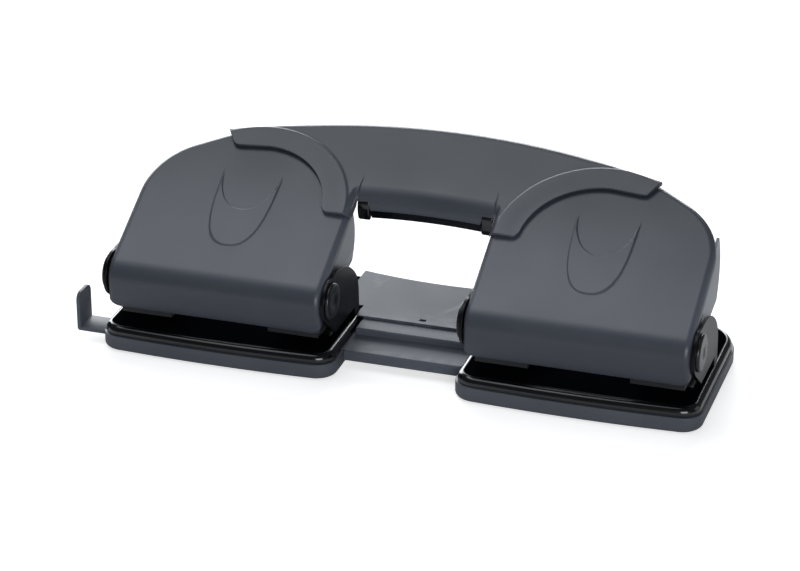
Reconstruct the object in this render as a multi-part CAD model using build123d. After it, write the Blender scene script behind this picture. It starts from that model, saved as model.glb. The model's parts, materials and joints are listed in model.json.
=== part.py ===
"""Four-hole desk punch: two two-hole punch heads on one chassis, pressed together by one bridge handle.

Frame: millimetres, +Z up, +X along the row of holes, the paper goes in towards +Y.
Origin: on the table, under the middle of the row of four holes.
A slanted part of the lever is drawn in slope coordinates: x across, s up the slope, n off the slope.
"""
from build123d import *
import math
import os

# ---------------------------------------------------------------- driving dimensions
hole_spacing = 80.0          # neighbouring holes, centre to centre
edge_margin = 12.0           # sheet edge to hole centre
paper_plane = 11.5           # height at which the sheet lies
throat_height = 4.7          # paper slot, deck to housing

pivot_reach = 20.0           # lever pivot in front of the hole row
pivot_height = 33.5
press_stroke = 7.2           # how far a pin travels
slope_angle = 27.3           # top face of the resting lever

axle_radius = 3.0
axle_gap = 0.05              # running clearance of the lever on its axle
seat_gap = 0.3               # clearance between neighbouring pieces
pin_radius = 2.75
pin_gap = 0.05               # running clearance of a pin in its guide
die_gap = 0.08               # cutting clearance of a pin in the die
pin_head_radius = 4.6
pin_head_height = 1.5
spring_radius = 3.8          # middle of the wire
spring_wire = 0.35           # wire radius
spring_turns = 4.5

cover_half_width = 48.5
cover_wall = 1.6
cover_bottom = 20.5          # height of the cover's front edge
cover_side_depth = 5.0       # how far the cover's side wall reaches down
cover_side_length = 39.2     # straight side, along the slope
cover_corner_radius = 34.0
cover_length = 77.6          # along the slope, to the rear edge
cover_edge_round = 2.8
roll_radius = 10.5           # front roll, around the pivot
front_wall_radius = 27.6     # front wall under the roll
front_lip_drop = 1.3         # stiffening lip under the cover's front edge
front_lip_start = 20.0       # the lip runs from here to the cover's side

crescent_half_width = 13.6
crescent_tip = 58.9          # both along the slope
crescent_low = 14.0
crescent_inner_low = 34.8
crescent_height = 0.45

frame_sheet = 1.2            # steel of the lever frame
frame_length = 70.0
press_bar_radius = 3.0
flange_reach_outer = 32.0    # rear of the lever frame's side flanges, from the hole row
flange_reach_inner = 23.0
flange_eye_radius = 8.3

cheek_sheet = 1.5            # side cheeks that carry the axle
cheek_top_radius = 10.0
cheek_rear = 17.5
cap_radius = 8.15
cap_thickness = 1.6
cap_round = 1.1
cap_dish = 0.4               # shallow dish in a cap's middle
cap_dish_radius = 3.2

housing_inner = 22.0         # inner side of a housing, from the middle of the head
housing_arm = 5.3            # arm over the paper slot
housing_pillar = 10.0        # length of the stop block behind the sheet
housing_eye_radius = 6.2
housing_front = 2.4          # arm in front of the pivot

deck_thickness = 3.5
deck_half_width = 52.6
deck_front = 31.2            # middle of the front edge, in front of the hole row
deck_rear = 54.5
front_bow = 2.0              # front edge runs back by this much at its ends
front_corner_radius = 8.5
rear_corner_radius = 18.0
inner_corner_radius = 4.5    # rear corner beside the bridge
deck_edge_round = 2.9
die_sheet = 1.6
die_front = 9.0
die_half_width = 46.0

tray_step = 0.9              # tray outline outside the deck outline
tray_height = 7.4
tray_wall = 2.2
tray_floor = 1.5
tray_edge_round = 2.0
foot_radius = 5.0
foot_stand = 0.4             # rubber foot under the tray
foot_depth = 1.0

chassis_sheet = 1.5
chassis_inset = 0.3          # chassis edge inside the tray wall
bridge_front = 13.0
bridge_lip = 4.4             # height of the turned-down front lip
rail_height = 11.2           # raised rail in front of the rear plate
plate_height = 12.2
plate_lap = 3.1              # the plate laps over the decks up to the cheeks
plate_wing = 40.0            # behind the housings the plate reaches this far from the middle
plate_rear = 53.5
plate_bow = 1.7
neck_rear = 44.0             # rear edge of the chassis between the heads

rail_front = 2.0             # raised rail, from the hole row
rail_rear = 12.4
bridge_end_gap = 0.3         # between the bridge and a tray
guide_sheet = 1.6
guide_width = 13.0
guide_front = 24.6
guide_inner_end = 40.0
guide_stop_face = 144.4      # inner face of the paper stop at rest
guide_stop_top = 22.3
keeper_sheet = 1.2
keeper_width = 6.0

flap_gap = 0.1               # the handle lies on the covers
flap_thickness = 1.9
flap_circle_radius = 33.3    # lower edge of the flap
flap_circle_x = 2.75         # its centre, from the middle of the head towards the grip
flap_circle_s = 36.4
flap_foot = 37.6
flap_end = -18.0             # outer corner of the flap
flap_corner_s = 76.6
flap_rear = 81.3
ridge_radius = 43.4          # soft ridge between the flap and the grip, around the flap's centre
ridge_rise = 0.75
ridge_fall = 1.9             # width of the ridge's outer side
grip_front = 46.3            # between the heads, in the middle
grip_nose_round = 11.0
grip_rear = 92.7
grip_rear_round = 4.0
grip_top = 2.0
grip_under = -9.5
grip_bow_radius = 333.0      # the grip bows forward at its ends, seen square to the slope
grip_reach = 77.0            # half length of the bowed part
grip_wall = 2.4
hollow_half = 25.0           # half length of the grip's hollow
liner_sheet = 1.8
liner_band_start = 47.6      # the liner shows as a band under the grip's nose
liner_band_top = -4.5
liner_band_depth = 3.0
liner_screw_reach = 19.0
liner_boss_radius = 3.2
handle_boss_radius = 2.6

screw_radius = 1.4
screw_head_radius = 2.9
screw_head = 1.8

# ---------------------------------------------------------------- values that follow
head_offset = hole_spacing
pin_offset = hole_spacing / 2
sin_slope = math.sin(math.radians(slope_angle))
cos_slope = math.cos(math.radians(slope_angle))
pivot_y = -pivot_reach
throat_top = paper_plane + throat_height
arm_top = throat_top + housing_arm
press_half_angle = math.asin(press_stroke / 2 / pivot_reach)
press_bar_y = pivot_y + pivot_reach * math.cos(press_half_angle)
press_bar_z = pivot_height + pivot_reach * math.sin(press_half_angle)
flange_outer = cover_half_width - cover_wall - 0.2
flange_inner = flange_outer - frame_sheet
cheek_inner = cover_half_width + seat_gap
cheek_outer = cheek_inner + cheek_sheet
deck_bottom = paper_plane - deck_thickness
chassis_bottom = deck_bottom - chassis_sheet
guide_top = chassis_bottom - 0.2
guide_bottom = guide_top - guide_sheet
tray_half_width = deck_half_width + tray_step
chassis_half = tray_half_width - tray_wall - chassis_inset
slope_origin = (0, pivot_y - roll_radius * sin_slope, pivot_height + roll_radius * cos_slope)
slope_plane = Plane(origin=slope_origin, x_dir=(1, 0, 0), z_dir=(0, -sin_slope, cos_slope))
grip_plane = Plane(origin=slope_origin, x_dir=(0, cos_slope, sin_slope), z_dir=(1, 0, 0))
pin_top = press_bar_z - press_bar_radius - 0.1
pin_head_low = pin_top - pin_head_height
pin_rest = throat_top + 0.4
housing_outer = flange_inner - 0.4
stop_line = edge_margin
housing_rear = stop_line + housing_pillar
bridge_half = head_offset - tray_half_width - bridge_end_gap
rim_gap_half = head_offset - cover_half_width - seat_gap


# ---------------------------------------------------------------- helpers
def box_between(low, high):
    """Box from its lowest to its highest corner."""
    size = [b - a for a, b in zip(low, high)]
    middle = [(a + b) / 2 for a, b in zip(low, high)]
    return Pos(*middle) * Box(*size)


def slope_point(s, n):
    """(y, z) of the point s up the slope and n off it."""
    return (
        slope_origin[1] + s * cos_slope - n * sin_slope,
        slope_origin[2] + s * sin_slope + n * cos_slope,
    )


def circle_point(center, radius, degrees):
    """Point of a circle in a sketch."""
    angle = math.radians(degrees)
    return (center[0] + radius * math.cos(angle), center[1] + radius * math.sin(angle))


def rod(radius, start, end, x=0.0, y=0.0, z=0.0, axis="x"):
    """Round bar along X or Z between two positions."""
    length = end - start
    if axis == "x":
        return Pos((start + end) / 2, y, z) * Rot(0, 90, 0) * Cylinder(radius, length)
    return Pos(x, y, (start + end) / 2) * Cylinder(radius, length)


def side_extrude(face, x_from, x_to):
    """Extrude a face drawn in (y, z) from x_from to x_to."""
    return Pos(x_from, 0, 0) * extrude(face, x_to - x_from)


def base_outline(step):
    """Plan of the left head's base: bowed front, the outer rear corner wide; step grows it."""
    half = deck_half_width + step
    front = -deck_front - step
    rear = deck_rear + step
    side = front + front_bow
    bow = ThreePointArc((-half, side), (0, front), (half, side))
    rest = Polyline((half, side), (half, rear), (-half, rear), (-half, side))
    face = make_face([bow, rest])
    corners = face.vertices().sort_by(Axis.Y)
    face = fillet(corners[:2], front_corner_radius + step)
    outer, inner = face.vertices().sort_by(Axis.Y)[-2:].sort_by(Axis.X)
    inner_place = inner.center()
    face = fillet(outer, rear_corner_radius + step)
    inner = [v for v in face.vertices() if (v.center() - inner_place).length < 0.01]
    return fillet(inner, inner_corner_radius + step)


# ---------------------------------------------------------------- lever
def lever_profile(inset):
    """Side view of the lever's outer form, moved inwards by inset."""
    roll = roll_radius - inset
    wall = front_wall_radius - inset
    wall_center = (pivot_y - roll_radius + front_wall_radius, pivot_height)
    bottom_angle = 180 + math.degrees(math.asin((pivot_height - cover_bottom) / wall))
    bottom = circle_point(wall_center, wall, bottom_angle)
    wall_middle = circle_point(wall_center, wall, (180 + bottom_angle) / 2)
    front = circle_point((pivot_y, pivot_height), roll, 180)
    roll_middle = circle_point((pivot_y, pivot_height), roll, (270 + slope_angle) / 2)
    slope_start = circle_point((pivot_y, pivot_height), roll, 90 + slope_angle)
    rear_top = slope_point(cover_length + 20, -inset)
    lines = [
        ThreePointArc(bottom, wall_middle, front),
        ThreePointArc(front, roll_middle, slope_start),
        Polyline(slope_start, rear_top, (rear_top[0], cover_bottom), bottom),
    ]
    return Plane.YZ * make_face(lines)


def cover_plan(inset):
    """Plan of the cover on the slope: straight sides, two round corners, a short rear edge."""
    half = cover_half_width - inset
    radius = cover_corner_radius - inset
    center = (cover_half_width - cover_corner_radius, cover_side_length)
    corner_end = circle_point(center, radius, 60)
    rear = cover_length - inset
    run = (rear - corner_end[1]) / math.tan(math.radians(30))
    rear_x = corner_end[0] - run
    right = [
        Line((half, -60), (half, cover_side_length)),
        ThreePointArc((half, cover_side_length), circle_point(center, radius, 30), corner_end),
        Line(corner_end, (rear_x, rear)),
    ]
    left = [mirror(edge, Plane.YZ) for edge in right]
    closing = [Line((rear_x, rear), (-rear_x, rear)), Line((half, -60), (-half, -60))]
    return make_face(right + left + closing)


def lever_block(inset, plan_inset):
    """Solid of the lever's outer form."""
    side = extrude(lever_profile(inset), cover_half_width - plan_inset, both=True)
    plan = extrude(slope_plane * cover_plan(plan_inset), 90, both=True)
    return side & plan


def open_edges(solid, keep):
    """Edges that only one of the kept faces has."""
    edges = [edge for face in solid.faces() if keep(face) for edge in face.edges()]
    centers = [edge.center() for edge in edges]
    lone = []
    for edge, center in zip(edges, centers):
        if sum((center - other).length < 1e-3 for other in centers) == 1:
            lone.append(edge)
    return lone


def is_lever_top(face):
    """True on the slope, the roll and the front wall."""
    normal = face.normal_at(face.center())
    sideways = abs(normal.X) > 1e-3
    slope = abs(normal.Z - cos_slope) < 1e-3
    front = normal.Y < -0.5
    return not sideways and (slope or front)


def crescent():
    """Raised crescent on the cover."""
    tip = (crescent_half_width, crescent_tip)
    outer = Spline(
        (-tip[0], tip[1]),
        (-0.905 * tip[0], crescent_low + 16),
        (0, crescent_low),
        (0.905 * tip[0], crescent_low + 16),
        tip,
        tangents=[(0, -1), (0, 1)],
    )
    inner = Spline(
        (-tip[0], tip[1]),
        (0, crescent_inner_low),
        tip,
        tangents=[(0.1, -1), (0.1, 1)],
    )
    face = make_face([outer, inner])
    return extrude(slope_plane * Pos(0, 0, -0.5) * face, crescent_height + 0.5)


def front_lip():
    """Stiffening lips behind the cover's front edge, at both ends."""
    wall = front_wall_radius - cover_wall
    center = (pivot_y - roll_radius + front_wall_radius, pivot_height)
    ring = Circle(wall) - Circle(wall - 1.0)
    ring = Pos(*center) * ring
    window = Pos(center[0] - wall, cover_bottom + 0.4 - front_lip_drop / 2)
    ring = ring & (window * Rectangle(12, front_lip_drop + 2.2))
    face = Plane.YZ * ring
    end = cover_half_width - cover_wall
    return side_extrude(face, front_lip_start, end) + side_extrude(face, -end, -front_lip_start)


def lever_cover():
    """Moulded cover of one head: roll, slope, side walls, crescent."""
    block = lever_block(0, 0)
    rim = [e for e in open_edges(block, is_lever_top) if e.center().Z > cover_bottom + 0.5]
    block = fillet(rim, cover_edge_round)
    inside = lever_block(cover_wall, cover_wall)
    inside = inside + Pos(0, 0, -2) * inside
    deep = extrude(lever_profile(cover_side_depth), cover_half_width + 5, both=True)
    deep = deep + Pos(0, 0, -3) * deep
    cover = block - inside - deep
    cover = cover + crescent() + front_lip()
    return cover


def frame_flange(reach):
    """Side flange of the lever frame, drawn in (y, z)."""
    eye = (pivot_y, pivot_height)
    top_n = -cover_wall - seat_gap
    eye_front = circle_point(eye, flange_eye_radius, 180)
    eye_top = circle_point(eye, flange_eye_radius, 90 + slope_angle)
    eye_low = circle_point(eye, flange_eye_radius, 262)
    middle_low = circle_point(eye, flange_eye_radius, 221)
    middle_top = circle_point(eye, flange_eye_radius, (270 + slope_angle) / 2)
    s_top = (reach - 7 - slope_origin[1]) / cos_slope
    rear_top = slope_point(s_top, top_n)
    rear_low = (reach - 4, pivot_height + 1.5)
    outline = [
        ThreePointArc(eye_low, middle_low, eye_front),
        ThreePointArc(eye_front, middle_top, eye_top),
        Line(eye_top, slope_point(s_top, top_n)),
        ThreePointArc(rear_top, (reach, pivot_height + 13), rear_low),
        Line(rear_low, eye_low),
    ]
    return Plane.YZ * make_face(outline)


def lever_frame(inner_side):
    """Steel lever under the cover: web and two side flanges; inner_side is +1 or -1."""
    top = -cover_wall - seat_gap
    web_start = 8.0
    web = Pos(0, (web_start + frame_length) / 2, top - frame_sheet / 2)
    web = web * Box(2 * flange_outer, frame_length - web_start, frame_sheet)
    plan = extrude(cover_plan(cover_wall + seat_gap), 20, both=True)
    web = slope_plane * (web & plan)
    inner = side_extrude(frame_flange(flange_reach_inner), flange_inner, flange_outer)
    outer = side_extrude(frame_flange(flange_reach_outer), -flange_outer, -flange_inner)
    rim = Pos(0, 50, 10 - cover_side_depth - seat_gap) * Box(120, 200, 20)
    rim = rim - extrude(cover_plan(cover_wall + 0.2), 60, both=True)
    frame = web + (inner - slope_plane * rim) + (outer - slope_plane * rim)
    if inner_side < 0:
        frame = mirror(frame, Plane.YZ)
    reach = flange_outer + 1
    frame = frame - rod(axle_radius + axle_gap, -reach, reach, y=pivot_y, z=pivot_height)
    frame = frame - rod(press_bar_radius, -reach, reach, y=press_bar_y, z=press_bar_z)
    return frame - head_pegs(inner_side, screw_radius + 0.2, -10, 10)


def press_bar():
    """Round bar between the flanges that presses both pins of a head."""
    return rod(press_bar_radius, -flange_outer, flange_outer, y=press_bar_y, z=press_bar_z)


# ---------------------------------------------------------------- handle
def flap():
    """Flap of the handle on the left head, +x towards the grip."""
    center = (flap_circle_x, flap_circle_s)
    start = circle_point(center, flap_circle_radius, 6)
    middle = circle_point(center, flap_circle_radius, 48)
    top = circle_point(center, flap_circle_radius, 90)
    heel = (flap_end + 4.8, top[1] - 1.4)
    outer = (flap_end, flap_corner_s)
    inner_x = cover_half_width + 2.0
    edges = [
        Polyline((inner_x, flap_foot), (start[0] + 3.5, flap_foot), start),
        ThreePointArc(start, middle, top),
        Polyline(top, heel, outer, (flap_circle_x, flap_rear), (inner_x, flap_rear), (inner_x, flap_foot)),
    ]
    face = make_face(edges)
    heel_corner = [v for v in face.vertices() if (v.center() - Vector(*heel)).length < 0.1]
    face = fillet(heel_corner, 4)
    plate = extrude(Pos(0, 0, flap_gap) * face, flap_thickness)
    return plate + flap_ridge() & extrude(Pos(0, 0, flap_gap) * face, flap_thickness + 2)


def flap_ridge():
    """Ring that climbs gently from the flap's lower edge to the ridge and falls off behind it."""
    floor = flap_gap + flap_thickness
    foot = ridge_radius + ridge_fall
    section = Polyline(
        (flap_circle_radius + 2, floor - 0.8),
        (flap_circle_radius + 2, floor),
        (ridge_radius - 0.3, floor + ridge_rise),
        (ridge_radius + 0.3, floor + ridge_rise),
        (foot, floor),
        (foot, floor - 0.8),
        (flap_circle_radius + 2, floor - 0.8),
    )
    ring = revolve(Plane.XZ * make_face(section), Axis.Z, 360)
    return Pos(flap_circle_x, flap_circle_s, 0) * ring


def grip_profile(inset, under):
    """Side view of the grip in (s, n): upright nose, flat top, round rear, open down to under."""
    nose = (grip_front + grip_nose_round, grip_top - grip_nose_round)
    nose_round = grip_nose_round - inset
    rear = (grip_rear - grip_rear_round, grip_top - grip_rear_round)
    rear_round = grip_rear_round - inset
    nose_start = circle_point(nose, nose_round, 180)
    nose_end = circle_point(nose, nose_round, 90)
    rear_start = circle_point(rear, rear_round, 90)
    rear_end = circle_point(rear, rear_round, 0)
    edges = [
        ThreePointArc(nose_start, circle_point(nose, nose_round, 135), nose_end),
        Line(nose_end, rear_start),
        ThreePointArc(rear_start, circle_point(rear, rear_round, 45), rear_end),
        Polyline(rear_end, (rear_end[0], under), (nose_start[0] + 1, under), nose_start),
    ]
    return grip_plane * make_face(edges)


def bow_sweep(face, half_length):
    """Sweep a section along the handle's bow, equally to both sides."""
    center = slope_point(grip_rear - grip_bow_radius, 0)
    axis = Axis((0, *center), (0, -sin_slope, cos_slope))
    half_angle = math.degrees(math.asin(half_length / grip_bow_radius))
    return revolve(face.rotate(axis, -half_angle), axis, 2 * half_angle)


def bite_cut():
    """Round space of a head's flap and ridge in the grip's plate."""
    return Pos(flap_circle_x, flap_circle_s, 3) * Cylinder(ridge_radius + ridge_fall, 10)


def boss_places():
    """Handle bosses on a head, (x towards the grip, s)."""
    return [(24.0, 66.0), (2.0, 72.9)]


def head_pegs(inner_side, radius, low, high):
    """Pegs square to the slope at the handle's bosses, between two heights n."""
    pegs = [Pos(inner_side * x, s, (low + high) / 2) * Cylinder(radius, high - low) for x, s in boss_places()]
    return slope_plane * (pegs[0] + pegs[1])


def liner_pegs(radius, low, high):
    """Pegs square to the slope at the liner's four screws."""
    pegs = [
        slope_plane * Pos(x, s, (low + high) / 2) * Cylinder(radius, high - low)
        for x in (-liner_screw_reach, liner_screw_reach)
        for s in (57.0, 82.0)
    ]
    return pegs[0] + pegs[1:]


def web_low():
    """Underside of the lever frame's web."""
    return -cover_wall - seat_gap - frame_sheet


def handle_shell():
    """Bridge handle: a flap on each head and a hollow grip between them."""
    shell = bow_sweep(grip_profile(0, grip_under), grip_reach)
    for side in (-1, 1):
        under = Pos(0, 50, flap_gap - 30) * Box(2 * cover_half_width + 2 * seat_gap, 200, 60)
        cut = bite_cut()
        plate = flap()
        if side > 0:
            cut = mirror(cut, Plane.YZ)
            plate = mirror(plate, Plane.YZ)
        head = Pos(side * head_offset, 0, 0)
        shell = shell - head * slope_plane * under - head * slope_plane * cut
        shell = shell + head * slope_plane * plate
    shell = shell - bow_sweep(grip_profile(grip_wall, grip_under - 8), hollow_half)
    shell = shell - bow_sweep(liner_band(seat_gap / 2), rim_gap_half - grip_wall)
    shell = shell + liner_pegs(liner_boss_radius, grip_under + liner_sheet, grip_top - 1)
    for side in (-1, 1):
        head = Pos(side * head_offset, 0, 0)
        low = -cover_wall - seat_gap
        shell = shell + head * head_pegs(-side, handle_boss_radius, low, flap_gap + 1)
        shell = shell - head * head_pegs(-side, screw_radius, low - 1, flap_gap + 0.9)
    return shell - liner_pegs(screw_radius, grip_under - 1, grip_top - 3.5)


def liner_band(gap):
    """Side view of the liner's front band in (s, n), made larger by a gap."""
    low = (liner_band_start - 20 * gap, grip_under - 20 * gap)
    high = (liner_band_start + liner_band_depth + gap, liner_band_top + gap)
    outline = Polyline(low, (high[0], low[1]), high, (low[0], high[1]), low)
    return grip_plane * make_face(outline)


def handle_liner():
    """Plate that closes the grip from below, with a band along the grip's nose."""
    low = liner_band_start + liner_band_depth / 2
    high = grip_rear - grip_wall - seat_gap / 2
    top = grip_under + liner_sheet
    outline = Polyline((low, grip_under), (high, grip_under), (high, top), (low, top), (low, grip_under))
    plate = bow_sweep(grip_plane * make_face(outline), hollow_half - seat_gap / 2)
    band = bow_sweep(liner_band(0), rim_gap_half - grip_wall - seat_gap / 2)
    return plate + band - liner_pegs(screw_radius + 0.2, grip_under - 5, 5)


def slope_screws(pegs, shank_low, shank_high):
    """Screws square to the slope with their heads below; pegs draws round bars at their places."""
    heads = pegs(screw_head_radius, shank_low - screw_head, shank_low)
    return pegs(screw_radius, shank_low, shank_high) + heads


def handle_screws():
    """Four screws that hold the handle on the lever frames."""
    screws = []
    for side in (-1, 1):
        def pegs(radius, low, high):
            return Pos(side * head_offset, 0, 0) * head_pegs(-side, radius, low, high)
        screws.append(slope_screws(pegs, web_low(), flap_gap + 0.5))
    return screws[0] + screws[1]


# ---------------------------------------------------------------- base of a head
def die_holes(radius, low, high):
    """Round bars at both pins of a head."""
    return [rod(radius, low, high, x=x, axis="z") for x in (-pin_offset, pin_offset)]


def screw_places():
    """Housing screws of a head, (x, y)."""
    return [(x, stop_line + housing_pillar / 2) for x in (-39.0, -28.0, 28.0, 39.0)]


def screw_bars(radius, low, high):
    """Round bars at the housing screws of a head."""
    return [rod(radius, low, high, x=x, y=y, axis="z") for x, y in screw_places()]


def die_plate():
    """Hard plate with the two cutting holes, flush with the deck."""
    low = paper_plane - die_sheet
    plate = box_between((-die_half_width, -die_front, low), (die_half_width, housing_rear, paper_plane))
    return plate - die_holes(pin_radius + die_gap, low - 1, paper_plane + 1) - screw_bars(screw_radius, 0, 20)


def deck():
    """Moulded top of a head's base; the sheet lies on it."""
    body = extrude(Pos(0, 0, deck_bottom) * base_outline(0), deck_thickness)
    body = fillet(body.faces().sort_by(Axis.Z)[-1].edges(), deck_edge_round)
    low = paper_plane - die_sheet
    pocket = box_between((-die_half_width, -die_front, low), (die_half_width, housing_rear, paper_plane + 1))
    body = body - pocket - die_holes(pin_radius + 1.3, 0, 20)
    return body - screw_bars(screw_radius, 0, 20)


def chip_tray(guide_slot):
    """Tray under the left head; with guide_slot it lets the guide strip through."""
    outer = extrude(Pos(0, 0, foot_stand) * base_outline(tray_step), tray_height - foot_stand)
    outer = fillet(outer.faces().sort_by(Axis.Z)[0].edges(), tray_edge_round)
    hollow = extrude(Pos(0, 0, foot_stand + tray_floor) * base_outline(tray_step - tray_wall), tray_height)
    tray = outer - hollow
    inner_wall = tray_half_width - tray_wall / 2
    neck = Pos(inner_wall, (neck_rear - bridge_front) / 2, 10)
    tray = tray - neck * Box(tray_wall + 4, neck_rear + bridge_front + 1, 2 * (10 - chassis_bottom + 0.2))
    if guide_slot:
        low = guide_bottom - 0.2
        tray = tray - box_between(
            (-tray_half_width - 1, -guide_front - 0.3, low),
            (-tray_half_width + tray_wall + 1, -guide_front + guide_width + 0.3, 20),
        )
    for x, y in foot_places():
        tray = tray - rod(foot_radius + 0.1, foot_stand - 1, foot_stand + foot_depth, x=x, y=y, axis="z")
    return tray


def foot_places():
    """Rubber feet of a tray, (x, y)."""
    return [(x, y) for x in (-40.0, 40.0) for y in (-20.0, 38.0)]


def tray_feet():
    """Four rubber feet of a tray."""
    feet = [rod(foot_radius, 0, foot_stand + foot_depth, x=x, y=y, axis="z") for x, y in foot_places()]
    return feet[0] + feet[1:]


# ---------------------------------------------------------------- punch works of a head
def housing():
    """Housing of the pin at +x: an arm over the paper slot and an eye for the axle."""
    eye = (pivot_y, pivot_height)
    left = pivot_y - housing_front
    upstand = pivot_y + housing_eye_radius
    outline = Polyline(
        (left, throat_top),
        (housing_rear, throat_top),
        (housing_rear, arm_top),
        (upstand, arm_top),
        (upstand, pivot_height),
        (pivot_y - housing_eye_radius, pivot_height),
        (left, arm_top),
        (left, throat_top),
    )
    face = make_face(outline) + Pos(*eye) * Circle(housing_eye_radius)
    body = side_extrude(Plane.YZ * face, housing_inner, housing_outer)
    window = box_between(
        (housing_inner + 4, pivot_y - 20, arm_top + 2),
        (housing_outer - 4, pivot_y + 20, pivot_height + 20),
    )
    body = body - window
    body = body - rod(axle_radius, 0, 80, y=pivot_y, z=pivot_height)
    body = body - rod(pin_radius + pin_gap, 0, 60, x=pin_offset, axis="z")
    return body - screw_bars(screw_radius, 0, arm_top - 2)


def housing_block():
    """Block under the rear of a housing's arm; its front face stops the sheet."""
    block = box_between(
        (housing_inner, stop_line, paper_plane), (housing_outer, housing_rear, throat_top)
    )
    return block - screw_bars(screw_radius, 0, arm_top)


def cheek():
    """Side cheek at +x: carries the axle's end, open for the sheet."""
    eye = (pivot_y, pivot_height)
    eye_low = circle_point(eye, cheek_top_radius, 235)
    eye_top = circle_point(eye, cheek_top_radius, 78)
    rear_top = (cheek_rear - 3.2, 31.0)
    shoulder = (cheek_rear, 20.0)
    edges = [
        ThreePointArc(eye_low, circle_point(eye, cheek_top_radius, 160), eye_top),
        ThreePointArc(eye_top, (1.0, 40.6), rear_top),
        ThreePointArc(rear_top, (cheek_rear - 0.7, 25.6), shoulder),
        Polyline(
            shoulder, (cheek_rear, paper_plane), (stop_line, paper_plane),
            (stop_line, throat_top), (pivot_y + 6, throat_top), eye_low,
        ),
    ]
    body = side_extrude(Plane.YZ * make_face(edges), cheek_inner, cheek_outer)
    return body - rod(axle_radius, 0, 80, y=pivot_y, z=pivot_height)


def axle():
    """Axle of a head, from cheek to cheek."""
    return rod(axle_radius, -cheek_outer, cheek_outer, y=pivot_y, z=pivot_height)


def axle_caps():
    """Two round caps on the axle's ends."""
    edge = (cap_radius - cap_round, cap_thickness)
    round_middle = circle_point((edge[0], cap_thickness - cap_round), cap_round, 45)
    section = [
        Polyline((0, cap_thickness - cap_dish), (0, 0), (cap_radius, 0)),
        Line((cap_radius, 0), (cap_radius, cap_thickness - cap_round)),
        ThreePointArc((cap_radius, cap_thickness - cap_round), round_middle, edge),
        Line(edge, (cap_dish_radius, cap_thickness)),
        Line((cap_dish_radius, cap_thickness), (0.6 * cap_dish_radius, cap_thickness - cap_dish)),
        Line((0.6 * cap_dish_radius, cap_thickness - cap_dish), (0, cap_thickness - cap_dish)),
    ]
    cap = revolve(Plane.XZ * make_face(section), Axis.Z, 360)
    place = Pos(cheek_outer, pivot_y, pivot_height) * Rot(0, 90, 0)
    cap = place * cap
    return cap + mirror(cap, Plane.YZ)


def punch_pin():
    """Punch pin with a flat head and a hollow-ground cutting end."""
    shank = rod(pin_radius, pin_rest, pin_head_low, x=0, axis="z")
    head = rod(pin_head_radius, pin_head_low, pin_top, x=0, axis="z")
    head = fillet(head.edges().sort_by(Axis.Z)[-1], 0.5)
    return shank + head - rod(4.0, -10, 10, z=pin_rest - 2.9)


def return_spring():
    """Coil spring between the housing and the pin's head."""
    low = arm_top + spring_wire + 0.02
    height = pin_head_low - spring_wire - 0.02 - low
    path = Helix(height / spring_turns, height, spring_radius)
    section = Plane(origin=path @ 0, z_dir=path % 0) * Circle(spring_wire)
    return Pos(0, 0, low) * sweep(section, path)


def housing_screws():
    """Screws that clamp housings, die plate, deck and chassis of a head."""
    head = screw_bars(screw_head_radius, chassis_bottom - screw_head, chassis_bottom)
    shank = screw_bars(screw_radius, chassis_bottom, arm_top - 3)
    joined = [a + b for a, b in zip(head, shank)]
    return joined[0] + joined[1:]


# ---------------------------------------------------------------- chassis and guide
def bridge_outline(front, half, inset):
    """Plan between the heads with the hollow rear edge."""
    rear = plate_rear - inset
    corner = rear + plate_bow * (half / bridge_half) ** 2
    bow = ThreePointArc((-half, corner), (0, rear), (half, corner))
    sides = Polyline((half, corner), (half, front), (-half, front), (-half, corner))
    return make_face([bow, sides])


def chassis():
    """Sheet-steel chassis: a plate under each head, the neck between them and its front lip."""
    step = chassis_half - deck_half_width
    plate = extrude(Pos(0, 0, chassis_bottom) * base_outline(step), chassis_sheet)
    for bar in die_holes(pin_radius + 1.8, 0, 20) + screw_bars(screw_radius, 0, 20):
        plate = plate - bar
    left = Pos(-head_offset, 0, 0) * plate
    sheet = left + mirror(left, Plane.YZ)
    neck_half = head_offset - chassis_half + 4
    neck = box_between((-neck_half, -bridge_front, chassis_bottom), (neck_half, neck_rear, deck_bottom))
    sheet = sheet + neck
    lip_low = deck_bottom - bridge_lip
    lip = box_between(
        (-bridge_half, -bridge_front - chassis_sheet, lip_low), (bridge_half, -bridge_front, deck_bottom)
    )
    lip = fillet(lip.edges().filter_by(Axis.X).sort_by(Axis.Y)[:2].sort_by(Axis.Z)[-1], 1.2)
    return sheet + lip


def bridge_plate():
    """Raised plate between the heads, a lid with turned-down edges and a small slot."""
    front = rail_rear + seat_gap
    lap_low = paper_plane + 0.1
    wings = bridge_outline(housing_rear + 0.8, plate_wing, 0)
    lap_plan = bridge_outline(front, bridge_half + plate_lap, 0) + wings
    lap = extrude(Pos(0, 0, lap_low) * lap_plan, plate_height - lap_low)
    lid = lap + extrude(Pos(0, 0, deck_bottom) * bridge_outline(front, bridge_half, 0), lap_low - deck_bottom)
    inner = bridge_outline(front + chassis_sheet, bridge_half - chassis_sheet, chassis_sheet)
    lid = lid - extrude(Pos(0, 0, deck_bottom - 1) * inner, plate_height - deck_bottom + 1 - chassis_sheet)
    skirt_plan = bridge_outline(plate_rear - 4, bridge_half, 0)
    skirt = extrude(Pos(0, 0, deck_bottom - bridge_lip) * skirt_plan, bridge_lip)
    skirt = skirt - extrude(
        Pos(0, 0, 0) * bridge_outline(0, bridge_half + 1, chassis_sheet), 20
    )
    slot = box_between((-1.5, front + 2.2, 0), (1.5, front + 4.4, 20))
    return lid + skirt - slot


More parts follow.
